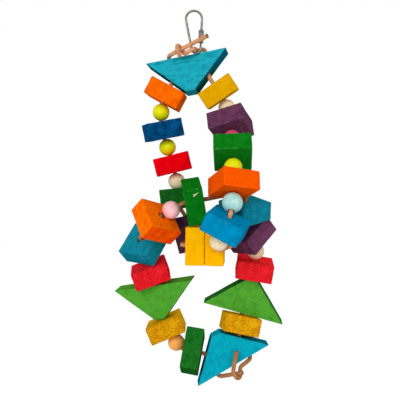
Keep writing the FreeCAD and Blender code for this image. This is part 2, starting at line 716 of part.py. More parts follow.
os.makedirs("parts", exist_ok=True)
for item in MADE:
    bad = [state for state in item.State if state in ("Invalid", "Error")]
    if bad or item.Shape.isNull() or not item.Shape.isValid():
        raise RuntimeError("%s did not build: %s" % (item.Label, bad))
    item.Shape.exportStep("parts/%s.step" % item.Label)
hinge = link_turn.multVec(narrow_centre - Vector(0, 0, NARROW))
print("%d pieces, the toy swings about X at %s" % (len(MADE), hinge))
for name, (centre, direction, radius) in BEADS.items():
    print("%s at (%.2f, %.2f, %.2f), bore (%.4f, %.4f, %.4f)" % ((name,) + tuple(centre) + tuple(direction)))
print("nut slides along", nut_way * -1.0, "from", nut_seat)
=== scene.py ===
"""The look of a hanging chew toy: dyed wooden blocks, painted beads, leather laces and a steel link."""

import json
import logging
import math
from contextlib import contextmanager
from dataclasses import dataclass, field
from enum import Enum
from typing import Any, Callable, Iterator, Optional

import bpy
from mathutils import Matrix, Vector


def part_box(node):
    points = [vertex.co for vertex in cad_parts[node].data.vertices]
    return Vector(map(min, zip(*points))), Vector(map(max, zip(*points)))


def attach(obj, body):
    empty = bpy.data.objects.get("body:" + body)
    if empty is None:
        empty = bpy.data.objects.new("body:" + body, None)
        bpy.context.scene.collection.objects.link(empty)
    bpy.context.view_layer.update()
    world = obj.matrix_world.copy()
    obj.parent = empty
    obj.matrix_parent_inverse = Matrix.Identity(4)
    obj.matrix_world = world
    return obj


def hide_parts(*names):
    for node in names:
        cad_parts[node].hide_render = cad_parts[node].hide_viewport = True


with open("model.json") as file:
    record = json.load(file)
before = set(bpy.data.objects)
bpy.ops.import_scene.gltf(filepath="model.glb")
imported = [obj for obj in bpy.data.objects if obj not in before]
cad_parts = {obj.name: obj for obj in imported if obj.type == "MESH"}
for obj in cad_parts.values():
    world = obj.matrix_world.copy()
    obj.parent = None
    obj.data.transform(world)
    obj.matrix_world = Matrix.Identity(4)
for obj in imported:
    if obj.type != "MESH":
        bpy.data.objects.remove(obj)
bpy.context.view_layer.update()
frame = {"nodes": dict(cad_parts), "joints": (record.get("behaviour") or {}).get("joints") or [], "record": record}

LOG = logging.getLogger("chew_toy")
BODY_OF = {node: body for body, nodes in frame["record"]["behaviour"]["bodies"].items() for node in nodes}
MM = 0.001
HOLE_RADIUS = 3.15 * MM
METRE_DIGITS = 4
UPRIGHT = Matrix.Identity(3)
ORIGIN = Vector((0.0, 0.0, 0.0))

Colour = tuple[float, float, float, float]
Span = tuple[float, float]
WHITE: Colour = (1.0, 1.0, 1.0, 1.0)


def chart(red: int, green: int, blue: int) -> Colour:
    """A linear colour from the 0 to 255 levels of a paint chart, by the sRGB curve.

    Args:
        red: red level.
        green: green level.
        blue: blue level.

    Returns:
        The linear colour with full alpha.
    """
    top, toe, toe_slope, lift, power = 255.0, 0.04045, 12.92, 0.055, 2.4
    levels = [level / top for level in (red, green, blue)]
    linear = [v / toe_slope if v <= toe else ((v + lift) / (1.0 + lift)) ** power for v in levels]
    return (linear[0], linear[1], linear[2], 1.0)


# Finishes


@dataclass(frozen=True)
class Dye:
    """A water dye on bare wood: its slot, its colour on a face and where the wood soaks it up, which also paints
    the shade in the drilled holes.
    """

    slot: str
    face: Colour
    soaked: Colour


@dataclass(frozen=True)
class Paint:
    """A satin paint on a turned bead: its slot, its full colour and its colour where it is thin, which also paints
    the shade in the bore.
    """

    slot: str
    coat: Colour
    thin: Colour
    roughness: float = 0.34


@dataclass(frozen=True)
class Leather:
    """An oiled round lace: its rubbed skin and its creases."""

    skin: Colour
    crease: Colour
    slot: str = "leather_lace"


TEAL = Dye("teal_dye", chart(30, 168, 186), chart(0, 98, 124))
AQUA = Dye("aqua_dye", chart(8, 166, 188), chart(0, 108, 136))
ORANGE = Dye("orange_dye", chart(255, 120, 2), chart(240, 64, 0))
FLAME = Dye("orange_dye", chart(250, 88, 2), chart(240, 84, 0))
EMBER = Dye("orange_dye", chart(255, 112, 4), chart(196, 62, 0))
NAVY = Dye("navy_dye", chart(6, 84, 138), chart(2, 36, 74))
RED = Dye("red_dye", chart(250, 2, 18), chart(164, 2, 14))
CHERRY = Dye("red_dye", chart(246, 40, 50), chart(192, 10, 24))
FOREST = Dye("dark_green_dye", chart(28, 112, 34), chart(8, 66, 18))
GREEN = Dye("green_dye", chart(12, 122, 22), chart(0, 84, 12))
MOSS = Dye("dark_green_dye", chart(18, 128, 30), chart(6, 104, 8))
GOLD = Dye("gold_dye", chart(226, 166, 2), chart(190, 138, 0))
YELLOW = Dye("yellow_dye", chart(255, 190, 4), chart(232, 152, 0))
AMBER = Dye("yellow_dye", chart(238, 182, 20), chart(176, 102, 0))
PURPLE = Dye("purple_dye", chart(112, 62, 94), chart(64, 30, 56))
PLUM = Dye("plum_dye", chart(98, 62, 96), chart(64, 34, 66))
BLUE = Dye("blue_dye", chart(0, 143, 192), chart(0, 98, 142))
LIME = Dye("lime_dye", chart(80, 164, 48), chart(24, 98, 30))
PETROL = Dye("petrol_dye", chart(22, 142, 164), chart(4, 98, 126))

LEMON = Paint("lemon_paint", chart(234, 236, 4), chart(220, 218, 0), 0.4)
BARE = Paint("bare_wood", chart(250, 232, 194), chart(236, 212, 170), 0.6)
MAGENTA = Paint("magenta_paint", chart(222, 82, 122), chart(190, 56, 96))
MINT = Paint("mint_paint", chart(182, 228, 220), chart(154, 206, 200))
PEACH = Paint("peach_paint", chart(255, 184, 98), chart(250, 160, 70))
PINK = Paint("pink_paint", chart(255, 200, 206), chart(246, 170, 180))

TAN = Leather(chart(222, 160, 116), chart(158, 98, 62))
RUSSET = Leather(chart(184, 126, 80), chart(122, 76, 42))
CUT_LEATHER = chart(84, 54, 44)

BRIGHT_ZINC = chart(134, 131, 122)
DULL_ZINC = chart(98, 95, 87)


# Shading

# The colour sockets of a Mix node go by number, since its other sockets share their names.
MIX_SHARE, MIX_FIRST, MIX_SECOND, MIX_RESULT = 0, 6, 7, 2
UNIT: Span = (0.0, 1.0)


class Wiring:
    """Adds nodes to a tree and joins them."""

    def __init__(self, tree: bpy.types.NodeTree) -> None:
        """Work on one tree."""
        self.tree = tree

    @classmethod
    def afresh(cls, owner: Any) -> "Wiring":
        """Clear the nodes of a material or a world away and start anew.

        Args:
            owner: the material or the world.

        Returns:
            The wiring of its tree.
        """
        owner.use_nodes = True
        owner.node_tree.nodes.clear()
        return cls(owner.node_tree)

    def feed(self, socket: bpy.types.NodeSocket, value: Any) -> None:
        """Join a socket to another one, or set its value.

        Args:
            socket: the input to fill.
            value: an output socket or a plain value.
        """
        if isinstance(value, bpy.types.NodeSocket):
            self.tree.links.new(value, socket)
        else:
            socket.default_value = value

    def node(self, kind: str, inputs: Optional[dict[Any, Any]] = None, **settings: Any) -> bpy.types.Node:
        """Add a node.

        Args:
            kind: the node's type.
            inputs: what goes into its sockets, by name or number.
            **settings: properties of the node.

        Returns:
            The new node.
        """
        made = self.tree.nodes.new(kind)
        for key, value in settings.items():
            setattr(made, key, value)
        for key, value in (inputs or {}).items():
            self.feed(made.inputs[key], value)
        return made

    def math(self, operation: str, *values: Any) -> bpy.types.NodeSocket:
        """The result of a Math node on one to three values."""
        return self.node("ShaderNodeMath", dict(enumerate(values)), operation=operation).outputs[0]

    def reach(self, first: Any, second: Any) -> bpy.types.NodeSocket:
        """The distance covered by two steps at right angles."""
        return self.math("SQRT", self.math("MULTIPLY_ADD", first, first, self.math("POWER", second, 2.0)))

    def ramp(self, value: Any, span: Span, start: float = 0.0, stop: float = 1.0) -> bpy.types.NodeSocket:
        """Ease from one value to another.

        Args:
            value: what the easing follows.
            span: where the easing begins and where it ends.
            start: what comes out where it begins.
            stop: what comes out where it ends.

        Returns:
            The eased value.
        """
        ends = {"Value": value, "From Min": span[0], "From Max": span[1], "To Min": start, "To Max": stop}
        return self.node("ShaderNodeMapRange", ends, interpolation_type="SMOOTHSTEP").outputs[0]

    def noise(self, place: Any, scale: float, detail: float = 2.0) -> bpy.types.NodeSocket:
        """Soft noise from 0 to 1 at a place."""
        return self.node("ShaderNodeTexNoise", {"Vector": place, "Scale": scale, "Detail": detail}).outputs[0]

    def streaks(self, place: Any, along: float, across: float, detail: float = 2.0) -> bpy.types.NodeSocket:
        """Noise drawn out along X.

        Args:
            place: where it is taken.
            along: its scale along X, the smaller one.
            across: its scale across X.
            detail: its finer layers.

        Returns:
            Streaks from 0 to 1.
        """
        squeezed = self.node("ShaderNodeVectorMath", {0: place, 1: (along, across, across)}, operation="MULTIPLY")
        return self.noise(squeezed.outputs[0], 1.0, detail)

    def blend(self, share: Any, first: Any, second: Any) -> bpy.types.NodeSocket:
        """A colour between two others."""
        inputs = {MIX_SHARE: share, MIX_FIRST: first, MIX_SECOND: second}
        return self.node("ShaderNodeMix", inputs, data_type="RGBA").outputs[MIX_RESULT]

    def millimetres(self, place: Any) -> bpy.types.NodeSocket:
        """A place in millimetres."""
        return self.node("ShaderNodeVectorMath", {0: place, "Scale": 1.0 / MM}, operation="SCALE").outputs[0]

    def split(self, vector: Any) -> Any:
        """The three parts of a vector."""
        return self.node("ShaderNodeSeparateXYZ", {0: vector}).outputs


VECTOR, NUMBER, COLOUR = "NodeSocketVector", "NodeSocketFloat", "NodeSocketColor"
SURFACE = {"Color": COLOUR, "Roughness": NUMBER, "Height": NUMBER}


def new_group(name: str, takes: dict[str, str]) -> tuple[Wiring, Any, Any]:
    """Start a node group that gives a surface's colour, roughness and height.

    Args:
        name: the group's name.
        takes: the kind of each input by its name.

    Returns:
        The wiring of the group, its input sockets and its output sockets.
    """
    tree = bpy.data.node_groups.new(name, "ShaderNodeTree")
    for in_out, sockets in (("INPUT", takes), ("OUTPUT", SURFACE)):
        for label, kind in sockets.items():
            tree.interface.new_socket(name=label, in_out=in_out, socket_type=kind)
    wiring = Wiring(tree)
    return wiring, wiring.node("NodeGroupInput").outputs, wiring.node("NodeGroupOutput").inputs


# Scales are waves per millimetre, stretched ones along the grain and across it. Spans are in millimetres, or in
# parts of one for a noise or a turned face.
FIBRE = (0.12, 1.1)
FIGURE = (0.035, 0.6)
WOOD_CLOUD = 0.15
EDGE_RAG, EDGE_RAG_SCALE, EDGE_STAIN, EDGE_DARK = 1.6, 0.42, (0.1, 1.3), 0.24
# Around each drilled hole the wood is darkened, partly by dye staining its mouth and partly by painted shade in
# the hole.
MOUTH_STAIN_AND_SHADE, MOUTH_SIDES, MOUTH_STAIN_AND_SHADE_DARK = (3.0, 5.2), (7.0, 6.0), 0.6
END_GRAIN, END_STREAKS = (0.45, 0.62), 0.25
SPECK_SCALE, SPECKS = 0.95, (0.42, 0.6)
FLECK_SCALE, FLECKS, FLECK_SHARE, FLECK = 0.4, (0.46, 0.66), 0.35, (1.0, 1.0, 0.8, 1.0)
FIBRE_SHARE, FIGURE_MIDDLE, MIDDLE = 0.8, 0.48, 0.5
TONE, TONE_LIFT = (-0.1, 1.1), 0.12
WOOD_ROUGH = (0.66, 0.84)


def dyed_wood_group() -> bpy.types.NodeTree:
    """Dyed wood: streaks along the grain, thirsty end grain, dark edges, and drilled mouths darkened by dye stain
    and by painted shade.

    Returns:
        The node group. Its places are in the piece's own frame with the grain along X.
    """
    takes = {"Place": VECTOR, "Facing": VECTOR, "Face Dye": COLOUR, "Soaked Dye": COLOUR, "Half Size": VECTOR,
             "Slant": NUMBER, "Hole": NUMBER, "Grain": NUMBER, "Mottle": NUMBER, "Soak": NUMBER,
             "Speckle": NUMBER, "Wear": NUMBER}
    w, given, out = new_group("dyed_wood", takes)
    place = w.millimetres(given["Place"])
    at, half, facing = w.split(place), w.split(given["Half Size"]), w.split(given["Facing"])
    away = [w.math("ABSOLUTE", part) for part in at]

    lean = w.math("MULTIPLY", given["Slant"], w.math("SUBTRACT", half[2], at[2]))
    squeeze = w.math("MULTIPLY_ADD", given["Slant"], math.cos(math.radians(45.0)) - 1.0, 1.0)
    end_gap = w.math("MULTIPLY", w.math("SUBTRACT", w.math("SUBTRACT", half[0], lean), away[0]), squeeze)
    side_gap, flat_gap = (w.math("SUBTRACT", half[axis], away[axis]) for axis in (1, 2))
    nearer = w.math("MINIMUM", end_gap, side_gap)
    farther = w.math("MAXIMUM", end_gap, side_gap)
    edge_gap = w.math("MAXIMUM", nearer, w.math("MINIMUM", farther, flat_gap))
    inner = w.math("SUBTRACT", edge_gap, EDGE_RAG / 2.0)
    ragged = w.math("MULTIPLY_ADD", w.noise(place, EDGE_RAG_SCALE), EDGE_RAG, inner)
    edge = w.ramp(ragged, EDGE_STAIN, 1.0, 0.0)
    from_mouth = w.reach(w.math("SUBTRACT", away[0], given["Hole"]), away[1])
    # Painted shade in and around the drilled hole, together with the dye that stains its mouth.
    mouth = w.math("MULTIPLY", w.ramp(from_mouth, MOUTH_STAIN_AND_SHADE, 1.0, 0.0), w.ramp(away[1], MOUTH_SIDES))
    end = w.ramp(w.math("ABSOLUTE", facing[0]), END_GRAIN)

    figure = w.streaks(place, *FIGURE, detail=3.0)
    fibre = w.streaks(place, *FIBRE)
    cloud = w.noise(place, WOOD_CLOUD, 3.0)
    speck = w.ramp(w.noise(place, SPECK_SCALE), SPECKS)

    lines = w.math("MULTIPLY_ADD", w.math("SUBTRACT", fibre, MIDDLE), FIBRE_SHARE,
                   w.math("SUBTRACT", figure, FIGURE_MIDDLE))
    along = w.math("MULTIPLY", w.math("MULTIPLY", lines, given["Grain"]), w.ramp(end, UNIT, 1.0, END_STREAKS))
    soaked = w.math("MULTIPLY", end, w.math("MULTIPLY_ADD", speck, given["Speckle"], given["Soak"]))
    blotch = w.math("MULTIPLY", w.math("SUBTRACT", cloud, MIDDLE), given["Mottle"])
    tone = w.math("ADD", w.math("ADD", blotch, TONE_LIFT), w.math("ADD", along, soaked))
    tone = w.math("MULTIPLY_ADD", edge, EDGE_DARK, w.math("MULTIPLY_ADD", mouth, MOUTH_STAIN_AND_SHADE_DARK, tone))
    tone = w.ramp(tone, TONE)
    flecks = w.math("MULTIPLY", w.ramp(w.noise(place, FLECK_SCALE, 3.0), FLECKS), edge)
    pale = w.blend(FLECK_SHARE, given["Face Dye"], FLECK)
    dyed = w.blend(tone, given["Face Dye"], given["Soaked Dye"])
    w.feed(out["Color"], w.blend(w.math("MULTIPLY", flecks, given["Wear"]), dyed, pale))
    w.feed(out["Roughness"], w.ramp(tone, UNIT, *WOOD_ROUGH))
    relief = w.math("MULTIPLY_ADD", fibre, 0.5, w.math("MULTIPLY", figure, 0.5))
    w.feed(out["Height"], w.math("SUBTRACT", relief, w.math("MULTIPLY", w.math("MULTIPLY", speck, end), 0.5)))
    return w.tree


BEAD_CLOUD = 0.22
THIN_PAINT, THINNEST = (0.85, 1.25), 0.75
# Towards the bore the paint turns to its thin colour, partly for thinner paint at the rim and partly as painted
# shade in the bore.
RIM_THIN_AND_SHADE, RIM_THIN_AND_SHADE_DARK = (3.0, 4.4), 0.8
GRAIN_ROUGH = 0.2


def painted_bead_group() -> bpy.types.NodeTree:
    """Satin paint on a turned bead, thinner in places and at the rim of its bore, with painted shade in the bore
    and the grain just showing.

    Returns:
        The node group. Its places are in the bead's own frame with the bore along X.
    """
    takes = {"Place": VECTOR, "Coat": COLOUR, "Thin": COLOUR, "Roughness": NUMBER}
    w, given, out = new_group("painted_bead", takes)
    place = w.millimetres(given["Place"])
    at = w.split(place)
    grain = w.streaks(place, *FIBRE, detail=3.0)
    cloud = w.noise(place, BEAD_CLOUD)
    # Painted shade in the bore, together with the paint thinning at its rim.
    rim = w.ramp(w.reach(at[1], at[2]), RIM_THIN_AND_SHADE, RIM_THIN_AND_SHADE_DARK, 0.0)
    thin = w.math("ADD", w.ramp(w.math("ADD", grain, cloud), THIN_PAINT, 0.0, THINNEST), rim)
    smoothest = w.math("SUBTRACT", given["Roughness"], GRAIN_ROUGH / 2.0)
    w.feed(out["Color"], w.blend(thin, given["Coat"], given["Thin"]))
    w.feed(out["Roughness"], w.math("MULTIPLY_ADD", grain, GRAIN_ROUGH, smoothest))
    w.feed(out["Height"], w.math("MULTIPLY_ADD", cloud, 0.3, w.math("MULTIPLY", grain, 0.7)))
    return w.tree


PORE_SCALE, PORES, PORE_DARK = 1.6, (0.5, 0.7), 0.08
FOLD_SCALE, FOLDS, FOLD_DARK = 0.4, (0.44, 0.7), 0.22
PATCH_SCALE, PATCHES, PATCH_DARK = 0.12, (0.35, 0.65), 0.35
CUT_REACH, CUT_DARK = (2.4 * MM, 3.6 * MM), 0.8
LEATHER_ROUGH = (0.5, 0.78)


def laced_leather_group() -> bpy.types.NodeTree:
    """Oiled leather: pores, creases, rubbed patches and a dark cut end.

    Returns:
        The node group. Its places are in the toy's frame.
    """
    takes = {"Place": VECTOR, "Skin": COLOUR, "Crease": COLOUR, "Cut End": VECTOR}
    w, given, out = new_group("laced_leather", takes)
    place = w.millimetres(given["Place"])
    pores = w.noise(place, PORE_SCALE)
    folds = w.ramp(w.noise(place, FOLD_SCALE), FOLDS)
    patches = w.noise(place, PATCH_SCALE, 1.0)
    dark = w.math("MULTIPLY_ADD", w.ramp(pores, PORES), PORE_DARK, w.math("MULTIPLY", folds, FOLD_DARK))
    dark = w.math("ADD", dark, w.ramp(patches, PATCHES, 0.0, PATCH_DARK))
    gap = w.node("ShaderNodeVectorMath", {0: given["Place"], 1: given["Cut End"]}, operation="DISTANCE")
    cut = w.ramp(gap.outputs["Value"], CUT_REACH, CUT_DARK, 0.0)
    w.feed(out["Color"], w.blend(cut, w.blend(dark, given["Skin"], given["Crease"]), CUT_LEATHER))
    w.feed(out["Roughness"], w.ramp(dark, UNIT, *LEATHER_ROUGH))
    w.feed(out["Height"], w.math("MULTIPLY_ADD", pores, 0.4, w.math("MULTIPLY", folds, -0.6)))
    return w.tree


ZINC_CLOUD, DULLING = 0.14, (0.35, 0.7)
SCRATCHES, SCRATCH_ROUGH = (1.5, 0.3), 0.12
ZINC_DULLED, ZINC_ROUGH = (0.3, 0.7), (0.4, 0.5)


def zinc_plate_group() -> bpy.types.NodeTree:
    """Bright plate that has dulled in clouds and is lightly scratched.

    Returns:
        The node group. Its places are in the toy's frame.
    """
    w, given, out = new_group("zinc_plate", {"Place": VECTOR})
    place = w.millimetres(given["Place"])
    cloud = w.noise(place, ZINC_CLOUD)
    scratch = w.streaks(place, *SCRATCHES)
    w.feed(out["Color"], w.blend(w.ramp(cloud, DULLING), BRIGHT_ZINC, DULL_ZINC))
    dulled = w.ramp(cloud, ZINC_DULLED, *ZINC_ROUGH)
    w.feed(out["Roughness"], w.math("MULTIPLY_ADD", scratch, SCRATCH_ROUGH, dulled))
    w.feed(out["Height"], scratch)
    return w.tree


@dataclass
class PaintShelf:
    """All materials of the toy, mixed from four shared node groups."""

    wood: bpy.types.NodeTree = field(default_factory=dyed_wood_group)
    bead: bpy.types.NodeTree = field(default_factory=painted_bead_group)
    leather: bpy.types.NodeTree = field(default_factory=laced_leather_group)
    zinc: bpy.types.NodeTree = field(default_factory=zinc_plate_group)

    def finish(self, name: str, group: bpy.types.NodeTree, inputs: dict[str, Any], shader: dict[str, Any],
               relief: float, turn: Matrix = UPRIGHT, centre: Vector = ORIGIN) -> bpy.types.Material:
        """A material from one node group, in a piece's own frame.

        Args:
            name: the material's name.
            group: the node group that gives colour, roughness and height.
            inputs: values for the group's inputs.
            shader: values for the shader's own inputs.
            relief: height of the surface's relief in metres.
            turn: the piece's attitude.
            centre: the piece's middle.

        Returns:
            The material.
        """
        material = bpy.data.materials.new(name)
        w = Wiring.afresh(material)
        coordinates = w.node("ShaderNodeTexCoord").outputs
        angles = turn.to_euler("XYZ")
        own = {"Vector": coordinates["Object"], "Location": centre, "Rotation": angles}
        values = dict(inputs, Place=w.node("ShaderNodeMapping", own, vector_type="TEXTURE").outputs[0])
        if "Facing" in group.interface.items_tree:
            turned = {"Vector": coordinates["Normal"], "Rotation": angles}
            values["Facing"] = w.node("ShaderNodeMapping", turned, vector_type="TEXTURE").outputs[0]
        surface = w.node("ShaderNodeGroup", node_tree=group)
        for label, value in values.items():
            w.feed(surface.inputs[label], value)
        bump = w.node("ShaderNodeBump", {"Height": surface.outputs["Height"], "Distance": relief})
        sockets = {"Base Color": surface.outputs["Color"], "Roughness": surface.outputs["Roughness"],
                   "Normal": bump.outputs[0], **shader}
        principled = w.node("ShaderNodeBsdfPrincipled", sockets)
        w.node("ShaderNodeOutputMaterial", {"Surface": principled.outputs[0]})
        return material

    def painted(self, name: str, paint: Paint, gloss: float, relief: float, turn: Matrix,
                centre: Vector) -> bpy.types.Material:
        """A bead's paint.

        Args:
            name: the material's name.
            paint: the paint.
            gloss: how much light its surface throws back.
            relief: height of the surface's relief in metres.
            turn: the bead's attitude.
            centre: the bead's middle.

        Returns:
            The material.
        """
        inputs = {"Coat": paint.coat, "Thin": paint.thin, "Roughness": paint.roughness}
        return self.finish(name, self.bead, inputs, {"Specular IOR Level": gloss}, relief, turn, centre)


# Woodwork


class Cut(Enum):
    """How a piece is cut from the strip: its grain's turn in degrees, the slope of its ends and its holes."""

    BLOCK = (90.0, 0.0, (0.0,))
    LONG_BLOCK = (0.0, 0.0, (0.0,))
    WEDGE = (0.0, 1.0, (0.0,))
    TWO_HOLE_WEDGE = (0.0, 1.0, (-20.0 * MM, 20.0 * MM))

    def __init__(self, grain_turn: float, slope: float, holes: tuple[float, ...]) -> None:
        """Give the three values their names."""
        self.grain_turn = grain_turn
        self.slope = slope
        self.holes = holes


@dataclass(frozen=True)
class Timber:
    """One wooden piece: its node, its lean, nod and turn in degrees, its dye and its cut."""

    node: str
    angles: tuple[float, float, float]
    dye: Dye
    cut: Cut = Cut.BLOCK
    speckle: float = 0.35
    soak: float = 0.12
    mottle: float = 1.1
    wear: float = 0.12
    grain: float = 1.2

    @property
    def turn(self) -> Matrix:
        """The piece's attitude, with its grain along X."""
        lean, nod, spin = (math.radians(angle) for angle in self.angles)
        attitude = Matrix.Rotation(lean, 3, "Y") @ Matrix.Rotation(nod, 3, "X") @ Matrix.Rotation(spin, 3, "Z")
        return attitude @ Matrix.Rotation(math.radians(self.cut.grain_turn), 3, "Z")

    def measure(self) -> tuple[Vector, Vector]:
        """The middle and the half size of the piece, from its solid.

        Returns:
            The middle in the toy's frame and the half size in the piece's own.
        """
        back = self.turn.transposed()
        points = [back @ vertex.co for vertex in frame["nodes"][self.node].data.vertices]
        low = Vector([min(point[axis] for point in points) for axis in range(3)])
        high = Vector([max(point[axis] for point in points) for axis in range(3)])
        return self.turn @ ((low + high) / 2.0), (high - low) / 2.0


TIMBER = (
    Timber("top_wedge", (-7.5, -8.5, -10), TEAL, Cut.TWO_HOLE_WEDGE, speckle=0.1, soak=0.85, grain=1.3),
    Timber("ul_orange", (28, 4, -2), EMBER, speckle=0.12),
    Timber("ul_navy", (-11, 7, 11), NAVY, mottle=2.2),
    Timber("ul_red", (-14, 3, 1), RED, speckle=0.1),
    Timber("ul_green", (-6, -5, -1), FOREST),
    Timber("ur_yellow", (-34, 4, -8), GOLD, speckle=0.1),
    Timber("ur_purple", (-6, -26, -20), PURPLE, speckle=0.2, wear=0.3),
    Timber("ur_green", (0, -32, -3), MOSS, mottle=1.6, wear=0.4),
    Timber("ur_orange", (0, -18, 23), FLAME, speckle=0.1, grain=1.6),
    Timber("ur_blue", (24, 17, -10), BLUE, speckle=0.1),
    Timber("mid_yellow_right", (-89, -4, 180), YELLOW, speckle=0.1, grain=2.2),
    Timber("mid_yellow_left", (-89, -4, 180), YELLOW, speckle=0.1, grain=2.2),
    Timber("mid_plum", (-12, -48, 0), PLUM),
    Timber("mid_green", (80, -2, 20), GREEN, speckle=0.1, wear=0.3),
    Timber("bottom_wedge", (150, -3, -1), AQUA, Cut.TWO_HOLE_WEDGE, speckle=0.1, soak=0.7, mottle=1.4, grain=0.4),
    Timber("ll_green", (-81, -5, 205), FOREST, Cut.LONG_BLOCK, mottle=1.8, grain=0.6),
    Timber("ll_yellow", (-23, 2, -1), AMBER, speckle=0.7),
    Timber("left_wedge", (-12, 8, -15), LIME, Cut.WEDGE, speckle=0.1, soak=0.75, grain=0.35),
    Timber("ll_red", (-19, 11, 2), CHERRY, speckle=0.6),
    Timber("ll_teal", (-32, 41, -49), PETROL),
    Timber("ll_orange", (43, 27, 48), ORANGE, speckle=0.2, soak=0.5, mottle=1.6),
    Timber("lr_yellow", (12, -6, 4), AMBER, speckle=0.5),
    Timber("right_wedge", (195, -7, 2), LIME, Cut.WEDGE, speckle=0.1, soak=0.75, mottle=1.5, grain=0.45),
    Timber("lr_red", (9, 9, -2), CHERRY, speckle=0.4),
    Timber("lr_purple", (-37, 21, -63), PURPLE),
    Timber("lr_teal", (0, 19, 39), PETROL),
)

# The strokes of a nick in the wide face of one block, from end to end in the block's own frame.
NICKED = "mid_green"
NICK = (
    (Vector((-19.1, 11.8, -0.1)) * MM, Vector((-19.0, 14.8, 5.0)) * MM),
    (Vector((-19.1, 13.2, 0.0)) * MM, Vector((-19.0, 13.7, 2.7)) * MM),
)


def only(*chosen: bpy.types.Object) -> None:
    """Select some objects alone.

    Args:
        *chosen: the objects, the one to make active first.
    """
    bpy.ops.object.select_all(action="DESELECT")
    for item in chosen:
        item.select_set(True)
    bpy.context.view_layer.objects.active = chosen[0]


def new_shape(add: Callable[..., Any], **settings: Any) -> bpy.types.Object:
    """Add a plain shape about the origin with one of the primitive operators."""
    add(**settings)
    return bpy.context.object


def apply(item: bpy.types.Object, kind: str, **settings: Any) -> None:
    """Add a modifier and apply it.

    Args:
        item: the object to change.
        kind: the modifier's type.
        **settings: its settings.
    """
    only(item)
    modifier = item.modifiers.new(kind.lower(), kind)
    for key, value in settings.items():
        setattr(modifier, key, value)
    bpy.ops.object.modifier_apply(modifier=modifier.name)


def settle(item: bpy.types.Object) -> None:
    """Bring an object's place and turn into its mesh, so that it sits at the origin."""
    only(item)
    bpy.ops.object.transform_apply(location=True, rotation=True, scale=True)


def smooth(item: bpy.types.Object, degrees: float) -> None:
    """Shade an object smoothly wherever its faces meet at less than an angle."""
    only(item)
    bpy.ops.object.shade_smooth_by_angle(angle=math.radians(degrees))


@contextmanager
def editing(item: bpy.types.Object, wanted: Callable[[Vector], bool] = lambda at: True) -> Iterator[None]:
    """Open a mesh in edit mode with some vertices selected, and close it afterwards.

    Args:
        item: the mesh object.
        wanted: tells from a vertex's place whether it is selected.

    Yields:
        Nothing, while the mesh is open.
    """
    only(item)
    for part in (item.data.polygons, item.data.edges):
        part.foreach_set("select", [False] * len(part))
    for vertex in item.data.vertices:
        vertex.select = wanted(vertex.co)
    bpy.ops.object.mode_set(mode="EDIT")
    bpy.ops.mesh.select_mode(type="VERT")
    yield
    bpy.ops.object.mode_set(mode="OBJECT")


def place_copy(master: bpy.types.Object, name: str, turn: Matrix, centre: Vector) -> bpy.types.Object:
    """A copy of a finished shape with its own mesh, turned and moved into place.

    Args:
        master: the shape, modelled about the origin.
        name: the copy's name.
        turn: its attitude.
        centre: its middle.

    Returns:
        The copy, whose object sits at the origin.
    """
    copy = master.copy()
    copy.data = master.data.copy()
    copy.name = name
    bpy.context.scene.collection.objects.link(copy)
    copy.matrix_world = Matrix.Translation(centre) @ turn.to_4x4()
    settle(copy)
    return copy


def adopt(piece: bpy.types.Object, node: str, material: bpy.types.Material,
          stands_for_it: bool = True) -> None:
    """Dress a piece and let it ride on a node's body.

    Args:
        piece: the finished piece.
        node: the node that it belongs to.
        material: its material.
        stands_for_it: whether it takes the place of the node's solid.
    """
    piece.data.materials.clear()
    piece.data.materials.append(material)
    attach(piece, BODY_OF[node])
    if stands_for_it:
        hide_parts(node)
    LOG.info("%s rides on %s", piece.name, BODY_OF[node])


@dataclass
class Bench:
    """A workplace with its finishes and the shapes that its pieces are copied from."""

    shelf: PaintShelf
    masters: dict[Any, bpy.types.Object] = field(default_factory=dict)

    def clear(self) -> None:
        """Remove the shapes that were only copied from."""
        for master in self.masters.values():
            bpy.data.objects.remove(master)


